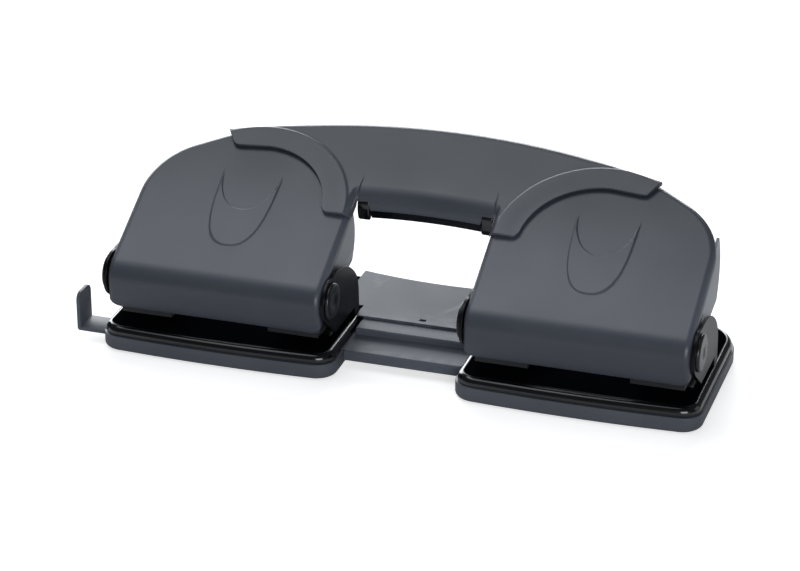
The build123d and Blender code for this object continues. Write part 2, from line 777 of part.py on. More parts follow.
def bridge_rail():
    """Raised rail in front of the bridge plate."""
    size = (2 * bridge_half, rail_rear - rail_front, rail_height - deck_bottom)
    rail = Pos(0, (rail_front + rail_rear) / 2, (rail_height + deck_bottom) / 2) * Box(*size)
    rail = fillet(rail.faces().sort_by(Axis.Z)[-1].edges().filter_by(Axis.X), 0.9)
    inner = (size[0] - 2 * chassis_sheet, size[1] - 2 * chassis_sheet, size[2])
    hollow_z = (rail_height + deck_bottom) / 2 - chassis_sheet
    return rail - Pos(0, (rail_front + rail_rear) / 2, hollow_z) * Box(*inner)


def guide_strip():
    """Sliding guide strip with its upright paper stop."""
    outer = guide_stop_face + guide_sheet
    front = -guide_front
    rear = -guide_front + guide_width
    strip = box_between((-outer, front, guide_bottom), (-guide_inner_end, rear, guide_top))
    stop = box_between((-outer, front, guide_bottom), (-guide_stop_face, rear, guide_stop_top))
    stop = fillet(stop.edges().filter_by(Axis.X).sort_by(Axis.Z)[-2:], 3.5)
    body = strip + stop
    bend = [e for e in body.edges().filter_by(Axis.Y) if e.center().Z < guide_bottom + 0.01]
    return fillet(min(bend, key=lambda e: e.center().X), 1.2)


def guide_keepers():
    """Two brackets under the chassis that hold the guide strip."""
    low = guide_bottom - 0.2 - keeper_sheet
    front = -guide_front - 0.2
    rear = -guide_front + guide_width + 0.2
    keepers = []
    for x in (-112.0, -66.0):
        far = (x + keeper_width, rear + keeper_sheet, chassis_bottom)
        outer = box_between((x, front - keeper_sheet, low), far)
        keepers.append(outer - box_between((x - 1, front, guide_bottom - 0.2), (x + 20, rear, 20)))
    return keepers[0] + keepers[1]


# ---------------------------------------------------------------- pieces
def at_head(side, shape):
    """Move a shape from the middle of a head to the left (-1) or right (+1) head."""
    return Pos(side * head_offset, 0, 0) * shape


def pieces():
    """Every node of the punch by name."""
    parts = {
        "chassis": chassis(),
        "bridge_plate": bridge_plate(),
        "bridge_rail": bridge_rail(),
        "guide_strip": guide_strip(),
        "guide_keepers": guide_keepers(),
        "handle_shell": handle_shell(),
        "handle_liner": handle_liner(),
        "handle_screws": handle_screws(),
        "liner_screws": slope_screws(liner_pegs, grip_under - 0.05, grip_top - 4),
    }
    shared = {
        "die_plate": die_plate(),
        "tray_feet": tray_feet(),
        "axle": axle(),
        "axle_caps": axle_caps(),
        "press_bar": press_bar(),
        "housing_screws": housing_screws(),
    }
    cover = lever_cover()
    outer_cheek = cheek()
    one_housing = housing()
    one_block = housing_block()
    pin = punch_pin()
    spring = return_spring()
    number = 1
    for side, name in ((-1, "left"), (1, "right")):
        for key, shape in shared.items():
            parts[f"{key}_{name}"] = at_head(side, shape)
        own_deck = deck()
        tray = chip_tray(side < 0)
        if side > 0:
            own_deck = mirror(own_deck, Plane.YZ)
            tray = mirror(tray, Plane.YZ)
        parts[f"deck_{name}"] = at_head(side, own_deck)
        parts[f"chip_tray_{name}"] = at_head(side, tray)
        bosses = head_pegs(-side, handle_boss_radius + 0.2, -10, 10)
        parts[f"lever_cover_{name}"] = at_head(side, cover - bosses)
        parts[f"lever_frame_{name}"] = at_head(side, lever_frame(-side))
        for x_side in (-1, 1):
            turned = x_side < 0
            place = "outer" if x_side == side else "inner"
            one = mirror(outer_cheek, Plane.YZ) if turned else outer_cheek
            parts[f"cheek_{name}_{place}"] = at_head(side, one)
            one = mirror(one_housing, Plane.YZ) if turned else one_housing
            block = mirror(one_block, Plane.YZ) if turned else one_block
            parts[f"punch_housing_{number}"] = at_head(side, one)
            parts[f"stop_block_{number}"] = at_head(side, block)
            x = x_side * pin_offset
            parts[f"punch_pin_{number}"] = at_head(side, Pos(x, 0, 0) * pin)
            parts[f"return_spring_{number}"] = at_head(side, Pos(x, 0, 0) * spring)
            number += 1
    return parts


os.makedirs("parts", exist_ok=True)
for piece_name, piece in pieces().items():
    export_step(piece, f"parts/{piece_name}.step")
    print(piece_name, len(piece.solids()), round(piece.volume))
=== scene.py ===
# %% [markdown]
# # A four-hole desk punch
# Two punch heads stand on one base and are pressed together by an arched handle.
# The exact solids come from the CAD frame. This lesson gives them their finish: the big
# moulded skins are worked out again with numpy, so that they are smooth, and every other
# piece keeps its CAD shape, with its sharp edges broken a little.

# %% Load the frame
import json
import math

import bmesh
import bpy
import numpy as np
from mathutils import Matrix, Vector


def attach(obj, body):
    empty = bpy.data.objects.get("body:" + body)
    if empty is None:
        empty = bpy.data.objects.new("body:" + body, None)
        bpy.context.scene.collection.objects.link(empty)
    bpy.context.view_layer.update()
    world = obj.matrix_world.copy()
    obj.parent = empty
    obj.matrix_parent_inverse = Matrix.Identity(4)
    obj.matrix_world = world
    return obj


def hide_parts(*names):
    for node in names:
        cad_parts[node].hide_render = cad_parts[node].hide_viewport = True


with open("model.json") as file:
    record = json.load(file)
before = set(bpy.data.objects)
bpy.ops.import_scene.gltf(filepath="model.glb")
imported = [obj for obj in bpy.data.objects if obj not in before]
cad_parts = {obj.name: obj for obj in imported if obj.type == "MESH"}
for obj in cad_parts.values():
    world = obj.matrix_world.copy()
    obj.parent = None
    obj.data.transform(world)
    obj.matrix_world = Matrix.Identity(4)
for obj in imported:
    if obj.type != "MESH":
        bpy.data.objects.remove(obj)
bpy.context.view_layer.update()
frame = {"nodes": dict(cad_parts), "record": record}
print("nodes in the frame:", len(frame["nodes"]))

# %% [markdown]
# ## Sizes that the skins share with the solids
# All of them are millimetres until a mesh is made. The lever is described in slope
# coordinates: x across the head, s up the slope and n off the slope's surface.

# %% Shared sizes
MM = 0.001
HEAD_X = 80.0                       # middle of a head
PIVOT = (-20.0, 33.5)               # y and z of the lever's axle
SLOPE = math.radians(27.3)
ROLL = 10.5                         # radius of the cover's rolled front
slope_start = (PIVOT[0] - ROLL * math.sin(SLOPE), PIVOT[1] + ROLL * math.cos(SLOPE))
print("the slope starts at", [round(v, 2) for v in slope_start])


def from_slope(x, s, n):
    """Millimetre points of slope coordinates: up the slope by s, then off it by n."""
    y = slope_start[0] + s * math.cos(SLOPE) - n * math.sin(SLOPE)
    z = slope_start[1] + s * math.sin(SLOPE) + n * math.cos(SLOPE)
    return np.stack(np.broadcast_arrays(x, y, z), -1)


def smoothstep(low, high, value):
    """0 below low, 1 above high, and a soft ramp 3t*t - 2t*t*t between them."""
    t = np.clip((value - low) / (high - low), 0, 1)
    return t * t * (3 - 2 * t)


# %% [markdown]
# ## From a grid of points to a mesh
# Every skin is a grid: one parameter runs along it, the other across. Neighbouring grid
# points make quads. A closed ring joins its last column to its first one, and a pole is
# closed with a fan of triangles.

# %% Mesh helpers
def grid_quads(rows, columns, ring):
    """Quads between neighbouring points; ring joins the last column to the first."""
    row = np.arange(rows - 1)[:, None]
    column = np.arange(columns if ring else columns - 1)[None, :]
    after = (column + 1) % columns
    corners = [row * columns + column, row * columns + after]
    corners += [(row + 1) * columns + after, (row + 1) * columns + column]
    return np.stack(np.broadcast_arrays(*corners), -1).reshape(-1, 4)


def make_piece(name, points_mm, faces, flip=False):
    """A mesh object at the origin from points in millimetres and lists of corners."""
    mesh = bpy.data.meshes.new(name)
    faces = [list(map(int, face[::-1] if flip else face)) for face in faces]
    mesh.from_pydata((np.asarray(points_mm, float).reshape(-1, 3) * MM).tolist(), [], faces)
    mesh.validate()
    mesh.update()
    mesh.shade_smooth()
    piece = bpy.data.objects.new(name, mesh)
    bpy.context.scene.collection.objects.link(piece)
    return piece


def resample(corners, count):
    """Equally spaced points along a line of points, by its running length."""
    corners = np.asarray(corners, float)
    run = np.concatenate([[0], np.cumsum(np.linalg.norm(np.diff(corners, axis=0), axis=1))])
    at = np.linspace(0, run[-1], count)
    return np.stack([np.interp(at, run, corners[:, k]) for k in range(corners.shape[1])], -1)


def arc(center, radius, start, end, count=24):
    """Points of a circle between two angles in degrees."""
    angle = np.radians(np.linspace(start, end, count))
    return np.stack([center[0] + radius * np.cos(angle), center[1] + radius * np.sin(angle)], -1)


# %% [markdown]
# ## Effects that several finishes share
# Moulded plastic is never perfectly even: it has a fine grain, its gloss drifts a little, and
# hands and dust leave it lighter or duller in places. One more group paints sheen: the covers' slope
# is made lighter above the roll, where the lamps' sheen falls. Each effect is one node group with
# named sockets, so every finish places it with values of its own.

# %% Node group helpers
def socket(group, name, direction, kind="NodeSocketFloat", default=None):
    """Add a named input or output to a node group."""
    made = group.interface.new_socket(name=name, in_out=direction, socket_type=kind)
    if default is not None:
        made.default_value = default
    return made


def node(tree, kind, inputs=None, **settings):
    """Add a node with its settings and the values or links of its inputs."""
    made = tree.nodes.new(kind)
    for key, value in settings.items():
        setattr(made, key, value)
    for key, value in (inputs or {}).items():
        if isinstance(value, bpy.types.NodeSocket):
            tree.links.new(value, made.inputs[key])
        else:
            made.inputs[key].default_value = value
    return made


def grain_group():
    """Fine moulded grain: a bump height from two noises, and a slow drift of gloss and shade."""
    group = bpy.data.node_groups.new("moulded grain", "ShaderNodeTree")
    socket(group, "Grain Size", "INPUT", default=900.0)
    socket(group, "Drift Size", "INPUT", default=28.0)
    for name in ("Height", "Drift", "Speck"):
        socket(group, name, "OUTPUT")
    entry = group.nodes.new("NodeGroupInput")
    leave = group.nodes.new("NodeGroupOutput")
    place = node(group, "ShaderNodeTexCoord").outputs["Object"]
    fine = node(group, "ShaderNodeTexNoise",
                {"Vector": place, "Scale": entry.outputs["Grain Size"],
                 "Detail": 3.0, "Roughness": 0.6})
    slow = node(group, "ShaderNodeTexNoise",
                {"Vector": place, "Scale": entry.outputs["Drift Size"],
                 "Detail": 4.0, "Roughness": 0.55})
    speck = node(group, "ShaderNodeTexNoise", {"Vector": place, "Scale": 420.0, "Detail": 2.0})
    sharp = node(group, "ShaderNodeMapRange",
                 {"Value": speck.outputs["Fac"], "From Min": 0.66, "From Max": 0.74})
    group.links.new(fine.outputs["Fac"], leave.inputs["Height"])
    group.links.new(slow.outputs["Fac"], leave.inputs["Drift"])
    group.links.new(sharp.outputs["Result"], leave.inputs["Speck"])
    return group


def wear_group():
    """Rubbed edges: 1 where the surface turns sharply outwards, broken up by noise, else 0."""
    group = bpy.data.node_groups.new("rubbed edges", "ShaderNodeTree")
    socket(group, "Reach", "INPUT", default=0.56)
    socket(group, "Mask", "OUTPUT")
    entry = group.nodes.new("NodeGroupInput")
    leave = group.nodes.new("NodeGroupOutput")
    geometry = node(group, "ShaderNodeNewGeometry")
    place = node(group, "ShaderNodeTexCoord").outputs["Object"]
    noise = node(group, "ShaderNodeTexNoise", {"Vector": place, "Scale": 160.0, "Detail": 5.0})
    edge = node(group, "ShaderNodeMapRange",
                {"Value": geometry.outputs["Pointiness"],
                 "From Min": entry.outputs["Reach"], "From Max": 0.7})
    broken = node(group, "ShaderNodeMapRange",
                  {"Value": noise.outputs["Fac"], "From Min": 0.42, "From Max": 0.62})
    mask = node(group, "ShaderNodeMath", {0: edge.outputs["Result"], 1: broken.outputs["Result"]},
                operation="MULTIPLY")
    group.links.new(mask.outputs["Value"], leave.inputs["Mask"])
    return group


def painted_sheen_group():
    """Painted sheen on the slope: 1 just above the covers' roll, less and less up the slope and on the
    front, standing in for the lamps' sheen that falls off there.
    The place along the slope is y * cos + z * sin of the slope's angle."""
    group = bpy.data.node_groups.new("painted sheen on slope", "ShaderNodeTree")
    socket(group, "Strength", "INPUT", default=1.0)
    socket(group, "Mask", "OUTPUT")
    entry = group.nodes.new("NodeGroupInput")
    leave = group.nodes.new("NodeGroupOutput")
    place = node(group, "ShaderNodeTexCoord").outputs["Object"]
    along = node(group, "ShaderNodeVectorMath",
                 {0: place, 1: (0, math.cos(SLOPE), math.sin(SLOPE))}, operation="DOT_PRODUCT")
    up = node(group, "ShaderNodeMapRange",
              {"Value": along.outputs["Value"], "From Min": 0.078, "From Max": 0.006},
              interpolation_type="SMOOTHSTEP")
    front = node(group, "ShaderNodeMapRange",
                 {"Value": along.outputs["Value"], "From Min": -0.011, "From Max": -0.001,
                  "To Min": 0.12}, interpolation_type="SMOOTHSTEP")
    both = node(group, "ShaderNodeMath",
                {0: up.outputs["Result"], 1: front.outputs["Result"]}, operation="MULTIPLY")
    mask = node(group, "ShaderNodeMath",
                {0: both.outputs["Value"], 1: entry.outputs["Strength"]}, operation="MULTIPLY")
    group.links.new(mask.outputs["Value"], leave.inputs["Mask"])
    return group


grain = grain_group()
wear = wear_group()
painted_sheen = painted_sheen_group()
print("effects:", ", ".join(group.name for group in (grain, wear, painted_sheen)))

# %% [markdown]
# ## The finishes
# The covers and the handle are satin charcoal plastic, the head bases are polished black,
# the trays are a duller black, and the bar between the heads is painted steel, whose grey colour is a
# painted reflection of the white surround. One function
# makes them all: it mixes two close shades by the slow drift, paints the lamps' sheen on the covers'
# slope as a lighter colour, lightens rubbed edges and sends the grain to the bump.

# %% Finish helper
def rgb(red, green, blue):
    """A linear colour from 0..255 screen values."""
    def linear(value):
        value = value / 255
        return value / 12.92 if value <= 0.04045 else ((value + 0.055) / 1.055) ** 2.4
    return (linear(red), linear(green), linear(blue), 1.0)


def finish(name, shade, light, rough, drift_rough=0.05, bump=0.0, grain_size=900.0,
           drift_size=28.0, worn=None, metal=0.0, coat=0.0, coat_rough=0.1, specular=0.5,
           matt_top=False, sheen_colour=None):
    """A procedural finish; shade and light are the two ends of its slow drift. worn is the
    colour of rubbed edges, and the last colour argument is a painted sheen: the lighter colour given
    to the slope above the roll. With matt_top, level faces are dull and only the rounds beside them
    are polished."""
    material = bpy.data.materials.new(name)
    material.use_nodes = True
    tree = material.node_tree
    shader = tree.nodes["Principled BSDF"]
    effect = node(tree, "ShaderNodeGroup", node_tree=grain)
    effect.inputs["Grain Size"].default_value = grain_size
    effect.inputs["Drift Size"].default_value = drift_size
    drift = node(tree, "ShaderNodeMapRange",
                 {"Value": effect.outputs["Drift"], "From Min": 0.3, "From Max": 0.7})
    colour = node(tree, "ShaderNodeMix", {"Factor": drift.outputs["Result"], "A": shade, "B": light},
                  data_type="RGBA")
    colour_out = colour.outputs["Result"]
    if sheen_colour is not None:
        # painted sheen: the slope above the roll is mixed towards a lighter colour that stands for the
        # lamps' sheen
        sheen_node = node(tree, "ShaderNodeGroup", node_tree=painted_sheen)
        mixed = node(tree, "ShaderNodeMix",
                     {"Factor": sheen_node.outputs["Mask"], "A": colour_out, "B": sheen_colour},
                     data_type="RGBA")
        colour_out = mixed.outputs["Result"]
    if worn is not None:
        rub = node(tree, "ShaderNodeGroup", node_tree=wear)
        mixed = node(tree, "ShaderNodeMix",
                     {"Factor": rub.outputs["Mask"], "A": colour_out, "B": worn},
                     data_type="RGBA")
        colour_out = mixed.outputs["Result"]
    tree.links.new(colour_out, shader.inputs["Base Color"])
    roughness = node(tree, "ShaderNodeMapRange",
                     {"Value": effect.outputs["Drift"], "From Min": 0.25, "From Max": 0.75,
                      "To Min": rough - drift_rough, "To Max": rough + drift_rough})
    tree.links.new(roughness.outputs["Result"], shader.inputs["Roughness"])
    if bump:
        lift = node(tree, "ShaderNodeBump",
                    {"Height": effect.outputs["Height"], "Strength": bump, "Distance": 0.0002})
        tree.links.new(lift.outputs["Normal"], shader.inputs["Normal"])
    shader.inputs["Metallic"].default_value = metal
    shader.inputs["Coat Weight"].default_value = coat
    shader.inputs["Coat Roughness"].default_value = coat_rough
    shader.inputs["Specular IOR Level"].default_value = specular
    if matt_top:
        facing = node(tree, "ShaderNodeNewGeometry").outputs["Normal"]
        up = node(tree, "ShaderNodeSeparateXYZ", {0: facing})
        level = node(tree, "ShaderNodeMapRange",
                     {"Value": up.outputs["Z"], "From Min": 0.97, "From Max": 0.998})
        dull = node(tree, "ShaderNodeMix", {"Factor": level.outputs["Result"], "A": rough, "B": 0.9},
                    data_type="FLOAT")
        tree.links.new(dull.outputs["Result"], shader.inputs["Roughness"])
        for gloss, amount in (("Coat Weight", coat), ("Specular IOR Level", specular)):
            less = node(tree, "ShaderNodeMapRange",
                        {"Value": level.outputs["Result"], "To Min": amount, "To Max": 0.0})
            tree.links.new(less.outputs["Result"], shader.inputs[gloss])
    return material


# %% Make the finishes
finishes = {
    # the covers' lighter colour above the roll is painted sheen
    "cover_plastic": finish("satin charcoal", rgb(51, 55, 63), rgb(56, 60, 68), 0.36, bump=0.12,
                            worn=rgb(90, 94, 102), sheen_colour=rgb(82, 86, 96)),
    "gloss_black": finish("polished black", rgb(6, 7, 10), rgb(10, 11, 15), 0.2, 0.03,
                          drift_size=40.0, coat=0.5, coat_rough=0.08, matt_top=True),
    "cheek_black": finish("black enamel", rgb(4, 5, 8), rgb(7, 8, 11), 0.34, bump=0.03, specular=0.22),
    "cap_black": finish("satin black", rgb(14, 15, 19), rgb(20, 21, 26), 0.3, bump=0.05),
    "tray_plastic": finish("dull black", rgb(72, 76, 84), rgb(80, 84, 92), 0.42, bump=0.12,
                           worn=rgb(104, 107, 114)),
    # bar_paint: the grey base colour is a painted reflection of the white surround in the bar's glossy
    # black paint
    "bar_paint": finish("grey paint", rgb(78, 82, 91), rgb(86, 90, 99), 0.55, bump=0.05,
                        grain_size=600.0, worn=rgb(112, 116, 124), specular=0.25),
    "frame_paint": finish("pale grey paint", rgb(112, 116, 124), rgb(122, 126, 134), 0.34, bump=0.08,
                          worn=rgb(150, 153, 158)),
    "housing_black": finish("black paint", rgb(12, 13, 15), rgb(18, 19, 22), 0.5, bump=0.2),
    "guide_plastic": finish("guide grey", rgb(74, 78, 86), rgb(82, 86, 94), 0.45, bump=0.08,
                            worn=rgb(116, 119, 125), specular=0.3),
    "steel": finish("bright steel", rgb(170, 170, 172), rgb(190, 190, 192), 0.28, 0.08, metal=1.0,
                    bump=0.1, grain_size=1500.0),
    "rubber": finish("matt rubber", rgb(34, 34, 36), rgb(42, 42, 44), 0.8, bump=0.5),
}
print("finishes:", ", ".join(finishes))

# %% [markdown]
# ## Pieces that keep their CAD shape
# The exact solids arrive as loose triangles. A copy of each is merged into one skin and its
# flat and round faces are shaded apart at their sharp edges, with a thin bevel to catch
# light as a real broken edge does.

# %% Give each node its finish
slot_of = {part["node"]: part["material_slot"] for part in frame["record"]["subparts"]}
bodies = frame["record"]["behaviour"]["bodies"]
body_of = {name: body for body, names in bodies.items() for name in names}


def dress(piece, slot, body, look=None):
    """Give a new piece its finish (or another look of the same slot) and tie it to its body."""
    piece.data.materials.clear()
    piece.data.materials.append(finishes[look or slot])
    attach(piece, body)


def broken_edges(name, width_mm, angle=35):
    """A merged copy of a CAD node with smooth rounds and narrow bevels, in its place."""
    source = frame["nodes"][name]
    mesh = source.data.copy()
    piece = bpy.data.objects.new(name + "_skin", mesh)
    bpy.context.scene.collection.objects.link(piece)
    work = bmesh.new()
    work.from_mesh(mesh)
    bmesh.ops.remove_doubles(work, verts=work.verts, dist=2e-6)
    bmesh.ops.dissolve_limit(work, angle_limit=math.radians(0.5), verts=work.verts, edges=work.edges)
    work.to_mesh(mesh)
    work.free()
    mesh.shade_smooth()
    mesh.set_sharp_from_angle(angle=math.radians(angle))
    if width_mm:
        bevel = piece.modifiers.new("broken edge", "BEVEL")
        bevel.width = width_mm * MM
        bevel.segments = 2
        bevel.limit_method = "ANGLE"
        bevel.angle_limit = math.radians(angle)
        bevel.harden_normals = False
    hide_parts(name)
    dress(piece, slot_of[name], body_of[name], "cheek_black" if name.startswith("cheek") else None)
    return piece


# %% [markdown]
# ## The lever covers
# A cover is one bent sheet: a front wall, a roll round the axle and a long slope, with a
# rim turned down on three sides. Unrolled flat it has a simple outline, so the surface is
# worked out on that flat sheet: a point goes from the middle of the sheet to its outline,
# then over the rounded rim and down it. Afterwards the flat sheet is bent back into shape.

# %% The cover's side view
WALL_RADIUS = 27.6                  # front wall under the roll
COVER_BOTTOM = 20.5
wall_centre = (PIVOT[0] - ROLL + WALL_RADIUS, PIVOT[1])
wall_angle = math.asin((PIVOT[1] - COVER_BOTTOM) / WALL_RADIUS)
wall_run = WALL_RADIUS * wall_angle
roll_run = ROLL * (math.pi / 2 - SLOPE)
front_run = wall_run + roll_run     # sheet length from the bottom edge to the slope


def bend_cover(x, run, lift):
    """Bend the flat sheet: first the wall's arc, then the roll's arc, then the straight slope.
    run is the length from the bottom edge, lift the height off the sheet."""
    on_wall = np.clip(run, 0, wall_run)
    on_roll = np.clip(run - wall_run, 0, roll_run)
    on_slope = run - wall_run - on_roll
    wall_turn = math.pi + wall_angle - on_wall / WALL_RADIUS
    roll_turn = math.pi - on_roll / ROLL
    wall_y = wall_centre[0] + (WALL_RADIUS + lift) * np.cos(wall_turn)
    wall_z = wall_centre[1] + (WALL_RADIUS + lift) * np.sin(wall_turn)
    roll_y = PIVOT[0] + (ROLL + lift) * np.cos(roll_turn)
    roll_z = PIVOT[1] + (ROLL + lift) * np.sin(roll_turn)
    slope = from_slope(0 * x, on_slope, lift)
    y = np.where(run < wall_run, wall_y, np.where(run < front_run, roll_y, slope[..., 1]))
    z = np.where(run < wall_run, wall_z, np.where(run < front_run, roll_z, slope[..., 2]))
    return np.stack([x, y, z], -1)


# %% The cover's outline on the flat sheet
COVER_HALF = 48.5
COVER_SIDE = 39.2                   # straight side, up the slope
COVER_CORNER = 34.0
COVER_LENGTH = 77.6
CRESCENT_HALF = 13.6                # half width between the crescent's tips
CRESCENT_TIP = 58.9                 # up the slope, as the next two
CRESCENT_LOW = 14.0                 # bottom of the deep U
CRESCENT_INNER_LOW = 34.8           # bottom of the shallow U


def cover_outline(count):
    """Closed outline of the unrolled sheet, from the bottom middle round to itself."""
    corner = (COVER_HALF - COVER_CORNER, front_run + COVER_SIDE)
    end = arc(corner, COVER_CORNER, 60, 60, 1)[0]
    top = front_run + COVER_LENGTH
    rear_x = end[0] - (top - end[1]) / math.tan(math.radians(30))
    tip = (rear_x - 1.6, top)
    right = np.concatenate([
        [(0, 0), (COVER_HALF - 5.5, 0)],
        arc((COVER_HALF - 5.2, 4.0), 4.0, -90, 0, 10),
        [(COVER_HALF, 14.0)],
        arc(corner, COVER_CORNER, 0, 60, 60),
        [(rear_x + 2.2, top - 1.27), (rear_x + 0.8, top - 0.5), tip, (0, top)],
    ])
    right[2:12, 0] += np.linspace(0, 1.2, 10)
    left = right[::-1][1:-1] * [-1, 1]
    return resample(np.concatenate([right, left, right[:1]]), count + 1)[:-1]


def crescent_line(wide, lowest, bend, power):
    """A U and its tilt: it climbs from lowest to the tips by 1 - (1 - wide^bend)^power of the
    way, where wide goes from 0 in the middle to 1 at the tips."""
    climb = CRESCENT_TIP - lowest
    left = 1 - wide ** bend
    tilt = climb * power * left ** (power - 1) * bend * wide ** (bend - 1) / CRESCENT_HALF
    return lowest + climb * (1 - left ** power), tilt


def crescent_mask(x, s):
    """1 on the raised crescent: above a deep U and under a shallow one that share their tips."""
    wide = np.clip(np.abs(x) / CRESCENT_HALF, 0, 0.9995)
    low, low_tilt = crescent_line(wide, CRESCENT_LOW, 2.5, 0.293)
    high, high_tilt = crescent_line(wide, CRESCENT_INNER_LOW, 2.2, 0.5)
    below = (s - low) / np.sqrt(1 + low_tilt ** 2)
    above = (high - s) / np.sqrt(1 + high_tilt ** 2)
    ramp = 0.5 - 0.34 * smoothstep(42, 56, s)
    inside = smoothstep(0, 1, np.minimum(below, above) / ramp)
    return np.where(np.abs(x) < CRESCENT_HALF, inside, 0.0)


# %% Work out the cover's skin
RIM_ROUND = 2.8                     # rounding of the cover's edge
FRONT_ROUND = 0.8                   # rounding of its bottom edge in front
RIM_DEPTH = 5.0
COVER_WALL = 1.6
CRESCENT_RISE = 0.45


def cover_skin(name, centre_x):
    """Grid over the unrolled sheet: from a pole to the outline, over the rim by a quarter circle,
    then down the rim."""
    count, inner_rows = 600, 136
    outline = cover_outline(count)
    along = np.roll(outline, -1, 0) - np.roll(outline, 1, 0)
    inward = np.stack([-along[:, 1], along[:, 0]], -1) / np.linalg.norm(along, axis=1)[:, None]
    on_side = smoothstep(0.5, 9, outline[:, 1])
    rounding = FRONT_ROUND + (RIM_ROUND - FRONT_ROUND) * on_side
    depth = COVER_WALL + (RIM_DEPTH - COVER_WALL) * on_side
    pole = np.array([0.0, front_run + 30])
    start = outline + inward * rounding[:, None]
    reach = np.linspace(0, 1, inner_rows + 1)[1:, None, None]
    rows = [pole + (start - pole) * step for step in reach]
    lifts = [CRESCENT_RISE * crescent_mask(row[:, 0], row[:, 1] - front_run) for row in rows]
    for turn in np.radians(np.linspace(0, 90, 9)[1:]):
        rows.append(outline + inward * (rounding * (1 - math.sin(turn)))[:, None])
        lifts.append(-rounding * (1 - math.cos(turn)))
    for step in (0.5, 1.0):
        rows.append(outline)
        lifts.append(-(rounding + (depth - rounding) * step))
    flat = np.array(rows)
    shape = bend_cover(flat[..., 0], flat[..., 1], np.array(lifts))
    middle = bend_cover(pole[:1], pole[1:], np.array([CRESCENT_RISE]))
    points = np.concatenate([shape.reshape(-1, 3), middle]) + [centre_x, 0, 0]
    faces = grid_quads(len(rows), count, ring=True)[:, ::-1].tolist()
    last = len(points) - 1
    faces += [[last, k, (k + 1) % count] for k in range(count)]
    piece = make_piece(name, points, faces)
    wall = piece.modifiers.new("wall", "SOLIDIFY")
    wall.thickness = COVER_WALL * MM
    wall.offset = -1
    return piece


for side, sign in (("left", -1), ("right", 1)):
    cover = cover_skin("cover_" + side, sign * HEAD_X)
    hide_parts("lever_cover_" + side)
    dress(cover, "cover_plastic", "lever")
    print(cover.name, len(cover.data.polygons), "faces")

# %% [markdown]
# ## The bridge handle
# The handle is one moulding: a grip between the heads that runs out on each side into a
# thin flap over the cover. Seen square to the slope it lies between a front line, with the
# round bite around each cover, and a bowed rear line. Straight rulings join the two lines,
# and a formula gives the height over them: flat top, soft ridge round the bite, round nose.

# %% The handle's front and rear lines
BITE = (-77.25, 36.4)               # centre of the left bite, x and s
BITE_RADIUS = 33.3
RIDGE = 43.4                        # soft ridge between flap and grip, around the same centre
TOP = 2.0                           # flaps and grip share this height
GRIP_FRONT = 46.3
NOSE = 11.0                         # rounding of the grip's front
BOW = 0.0015                        # front and rear line bow forward by this times x squared
GRIP_HALF = 30.8                    # half length of the grip between the heads
REAR_HALF = 98                      # half length of the rear line
END_BLOCK = 24.9                    # the liner's raised ends start here
UNDERSIDE = -9.5
LINER_TOP = -7.6                    # the grip is closed here, above the liner
FLAP_UNDER = 0.12                   # underside of a flap, just off the cover
BAND_TOP = -4.5                     # the liner's band shows below this
RIDGE_RISE = 0.5
RIDGE_FALL = 1.7                    # width of the ridge's outer side


def handle_lines(side_count, middle_count):
    """Front and rear line of the handle in (x, s), both from the left end to the right end."""
    bend = np.linspace(0, 1, 9)[:, None]
    before, corner, after = np.array([(-94.47, 70.5), (-93.2, 68.3), (-90.66, 68.52)])
    heel = before * (1 - bend) ** 2 + 2 * corner * bend * (1 - bend) + after * bend ** 2
    bite = arc(BITE, BITE_RADIUS, 90, 6, 80)
    foot = arc((-40.9, 40.6), 3.0, 200, 270, 12)
    side = [(-33.6, 37.6), (-32.2, 37.8), (-31.2, 38.5), (-30.85, 39.8), (-30.85, 45.0),
            (-GRIP_HALF, 49.0)]
    left = resample(np.concatenate([[(-97.8, 76.2)], heel, bite, foot, side]), side_count)
    x = np.linspace(-GRIP_HALF, GRIP_HALF, middle_count + 2)[1:-1]
    lowest = np.arcsin((band_top(x) - TOP + NOSE) / NOSE)
    middle = np.stack([x, GRIP_FRONT - BOW * x ** 2 + NOSE * (1 - np.cos(lowest))], -1)
    front = np.concatenate([left, middle, left[::-1] * [-1, 1]])
    spread = np.linspace(0, 1, side_count)
    flap = REAR_HALF - GRIP_HALF
    rear_x = np.concatenate([-REAR_HALF + flap * spread, x, GRIP_HALF + flap * spread])
    past = np.maximum(np.abs(rear_x) + BITE[0], 0)
    rear = 90.6 - BOW * (np.abs(rear_x) - past) ** 2 - 0.234 * past
    return front, np.stack([rear_x, rear], -1)


def band_top(x):
    """Lower end of the grip's front: above the liner's band, higher above its raised ends."""
    return BAND_TOP + 3.3 * smoothstep(END_BLOCK, END_BLOCK + 0.5, np.abs(x))


def handle_height(x, s):
    """Height off the slope: the flap climbs to its ridge and falls off to the flat grip, to the
    round nose or round the cover's side, whichever of those is the highest."""
    away = np.hypot(np.abs(x) + BITE[0], s - BITE[1])
    ridge = TOP + RIDGE_RISE * smoothstep(33.5, RIDGE, away)
    before = np.clip(GRIP_FRONT + NOSE - BOW * x ** 2 - s, 0, NOSE)
    nose = TOP - NOSE + np.sqrt(NOSE ** 2 - before ** 2)
    out = np.clip((34.6 - np.abs(x)) / 3.8, 0, 1)
    side = TOP - 5 * (1 - np.sqrt(1 - out ** 2)) - 12 * (1 - smoothstep(30.3, 30.8, np.abs(x)))
    behind = np.minimum((nose + side + np.sqrt((nose - side) ** 2 + 0.8)) / 2, TOP)
    fall = smoothstep(RIDGE, RIDGE + RIDGE_FALL, away)
    return ridge * (1 - fall) + behind * fall


def handle_under(x):
    """Underside on a head: on the cover, round the cover's edge and a little down its side."""
    out = np.clip(34.3 - np.abs(x), 0, RIM_ROUND)
    return FLAP_UNDER - RIM_ROUND + np.sqrt(RIM_ROUND ** 2 - out ** 2)


